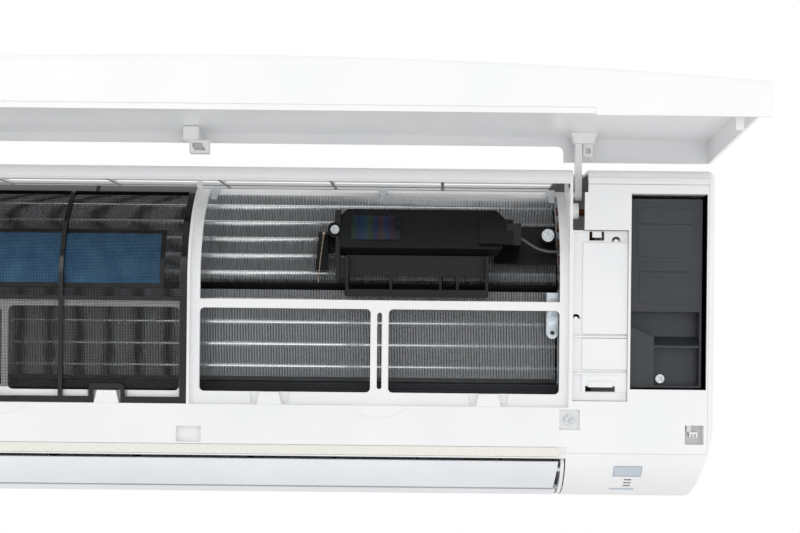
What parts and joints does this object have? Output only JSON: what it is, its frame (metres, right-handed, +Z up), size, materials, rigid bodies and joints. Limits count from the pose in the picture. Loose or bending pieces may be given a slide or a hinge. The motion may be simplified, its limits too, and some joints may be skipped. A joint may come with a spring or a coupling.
{
  "type": "mini split indoor unit",
  "caption": "Wall-mounted air conditioner indoor unit with its front panel lifted, air filter, coil, cross-flow fan, air purifier, outlet vanes and electrical box.",
  "frame": {"origin": "centre of the four wall screws, on the wall face of the installation plate", "axes": "+X along the width to the right as seen from the room, +Y into the wall, +Z up"},
  "size_m": [0.807, 0.389, 0.3495],
  "materials": {
    "casing_white": "satin moulded plastic",
    "panel_white": "semi-gloss moulded plastic",
    "vane_grey": "satin moulded plastic",
    "light_grey": "satin moulded plastic",
    "dark_plastic": "matte moulded plastic",
    "cover_grey": "satin dark grey plastic",
    "black_plastic": "satin black plastic",
    "black_gloss": "gloss black plastic",
    "mesh_black": "woven plastic mesh",
    "pad_blue": "pleated filter fabric",
    "foam": "soft foam",
    "fins": "bare fin stock",
    "galvanised": "galvanised sheet",
    "copper": "drawn copper tube",
    "brass": "machined brass",
    "screw_steel": "zinc plated steel",
    "rubber": "soft rubber",
    "board_green": "lacquered circuit board",
    "window_grey": "translucent window",
    "indicator_grey": "tinted lens",
    "clear_plastic": "translucent moulded plastic",
    "film": "iridescent electrode film",
    "cable_grey": "cable sheath"
  },
  "bodies": {
    "unit": {"installation_plate": "galvanised", "rear_casing": "casing_white", "front_casing": "casing_white", "intake_grille": "casing_white", "foam_seal": "foam", "outlet_frame": "light_grey", "drain_pan": "dark_plastic", "fin_pack_lower": "fins", "fin_pack_upper": "fins", "fin_pack_rear": "fins", "coil_tubes": "copper", "return_bends": "copper", "coil_end_plate_left": "galvanised", "coil_end_plate_right": "galvanised", "coil_bracket": "galvanised", "liquid_pipe": "copper", "gas_pipe": "copper", "flare_nuts": "brass", "fan_bearing": "rubber", "fan_motor": "dark_plastic", "motor_bracket": "galvanised", "electrical_box": "dark_plastic", "electrical_cover": "cover_grey", "control_board": "board_green", "terminal_block": "dark_plastic", "service_cover": "casing_white", "display_window": "window_grey", "indicator_lenses": "indicator_grey", "display_board": "board_green", "vane_motors": "light_grey", "screws": "screw_steel", "filter_clips": "clear_plastic", "panel_catch": "casing_white", "purifier_housing": "black_plastic", "purifier_film": "film", "purifier_bracket": "black_plastic", "purifier_wire": "screw_steel", "purifier_cable": "cable_grey"},
    "panel": {"front_panel": "panel_white", "hinge_arms": "casing_white", "centre_hook": "casing_white"},
    "filter": {"filter_frame": "black_gloss", "filter_mesh": "mesh_black", "air_cleaning_filter": "pad_blue"},
    "fan": {"fan_rotor": "dark_plastic", "fan_shaft": "screw_steel"},
    "upper_vane": {"vane_upper": "vane_grey"},
    "lower_vane": {"vane_lower": "vane_grey"},
    "button": {"emergency_button": "light_grey"},
    "louvre_left_1_body": {"louvre_left_1": "dark_plastic"},
    "louvre_left_2_body": {"louvre_left_2": "dark_plastic"},
    "louvre_left_3_body": {"louvre_left_3": "dark_plastic"},
    "louvre_left_4_body": {"louvre_left_4": "dark_plastic"},
    "louvre_right_1_body": {"louvre_right_1": "dark_plastic"},
    "louvre_right_2_body": {"louvre_right_2": "dark_plastic"},
    "louvre_right_3_body": {"louvre_right_3": "dark_plastic"},
    "louvre_right_4_body": {"louvre_right_4": "dark_plastic"},
    "louvre_link_left_body": {"louvre_link_left": "dark_plastic"},
    "louvre_link_right_body": {"louvre_link_right": "dark_plastic"}
  },
  "joints": [
    {"name": "panel_hinge", "type": "hinge", "parent": "unit", "child": "panel", "pos_m": [0, -0.1645, 0.125], "axis": [1, 0, 0], "range_deg": [0, 90]},
    {"name": "filter_slide", "type": "slide", "parent": "unit", "child": "filter", "axis": [0, 1, 0], "range_m": [-0.12, 0]},
    {"name": "fan_spin", "type": "hinge", "parent": "unit", "child": "fan", "pos_m": [0, -0.08, 0.005], "axis": [1, 0, 0], "continuous": true},
    {"name": "upper_vane_turn", "type": "hinge", "parent": "unit", "child": "upper_vane", "pos_m": [0, -0.184, -0.116], "axis": [-1, 0, 0], "range_deg": [0, 70]},
    {"name": "lower_vane_turn", "type": "hinge", "parent": "unit", "child": "lower_vane", "pos_m": [0, -0.155, -0.134], "axis": [-1, 0, 0], "range_deg": [0, 60]},
    {"name": "button_press", "type": "slide", "parent": "unit", "child": "button", "axis": [0, 0.4176, 0.9086], "range_m": [0, 0.0012], "stiffness_N_per_m": 400, "springref_m": -0.0005},
    {"name": "louvre_left_1_turn", "type": "hinge", "parent": "unit", "child": "louvre_left_1_body", "pos_m": [-0.334, -0.15945, -0.08275], "axis": [0, 0.5936, -0.8047], "range_deg": [-25, 25]},
    {"name": "louvre_left_2_turn", "type": "hinge", "parent": "unit", "child": "louvre_left_2_body", "pos_m": [-0.259, -0.15945, -0.08275], "axis": [0, 0.5936, -0.8047], "range_deg": [-25, 25]},
    {"name": "louvre_left_3_turn", "type": "hinge", "parent": "unit", "child": "louvre_left_3_body", "pos_m": [-0.184, -0.15945, -0.08275], "axis": [0, 0.5936, -0.8047], "range_deg": [-25, 25]},
    {"name": "louvre_left_4_turn", "type": "hinge", "parent": "unit", "child": "louvre_left_4_body", "pos_m": [-0.109, -0.15945, -0.08275], "axis": [0, 0.5936, -0.8047], "range_deg": [-25, 25]},
    {"name": "louvre_link_left_slide", "type": "slide", "parent": "unit", "child": "louvre_link_left_body", "axis": [1, 0, 0], "range_m": [-0.0052, 0.0052]},
    {"name": "louvre_right_1_turn", "type": "hinge", "parent": "unit", "child": "louvre_right_1_body", "pos_m": [-0.007, -0.15945, -0.08275], "axis": [0, 0.5936, -0.8047], "range_deg": [-25, 25]},
    {"name": "louvre_right_2_turn", "type": "hinge", "parent": "unit", "child": "louvre_right_2_body", "pos_m": [0.068, -0.15945, -0.08275], "axis": [0, 0.5936, -0.8047], "range_deg": [-25, 25]},
    {"name": "louvre_right_3_turn", "type": "hinge", "parent": "unit", "child": "louvre_right_3_body", "pos_m": [0.143, -0.15945, -0.08275], "axis": [0, 0.5936, -0.8047], "range_deg": [-25, 25]},
    {"name": "louvre_right_4_turn", "type": "hinge", "parent": "unit", "child": "louvre_right_4_body", "pos_m": [0.218, -0.15945, -0.08275], "axis": [0, 0.5936, -0.8047], "range_deg": [-25, 25]},
    {"name": "louvre_link_right_slide", "type": "slide", "parent": "unit", "child": "louvre_link_right_body", "axis": [1, 0, 0], "range_m": [-0.0052, 0.0052]}
  ],
  "couplings": [
    {"joint": "louvre_left_1_turn", "follows": "louvre_link_left_slide", "rad_per_m": 83.333},
    {"joint": "louvre_left_2_turn", "follows": "louvre_link_left_slide", "rad_per_m": 83.333},
    {"joint": "louvre_left_3_turn", "follows": "louvre_link_left_slide", "rad_per_m": 83.333},
    {"joint": "louvre_left_4_turn", "follows": "louvre_link_left_slide", "rad_per_m": 83.333},
    {"joint": "louvre_right_1_turn", "follows": "louvre_link_right_slide", "rad_per_m": 83.333},
    {"joint": "louvre_right_2_turn", "follows": "louvre_link_right_slide", "rad_per_m": 83.333},
    {"joint": "louvre_right_3_turn", "follows": "louvre_link_right_slide", "rad_per_m": 83.333},
    {"joint": "louvre_right_4_turn", "follows": "louvre_link_right_slide", "rad_per_m": 83.333}
  ]
}
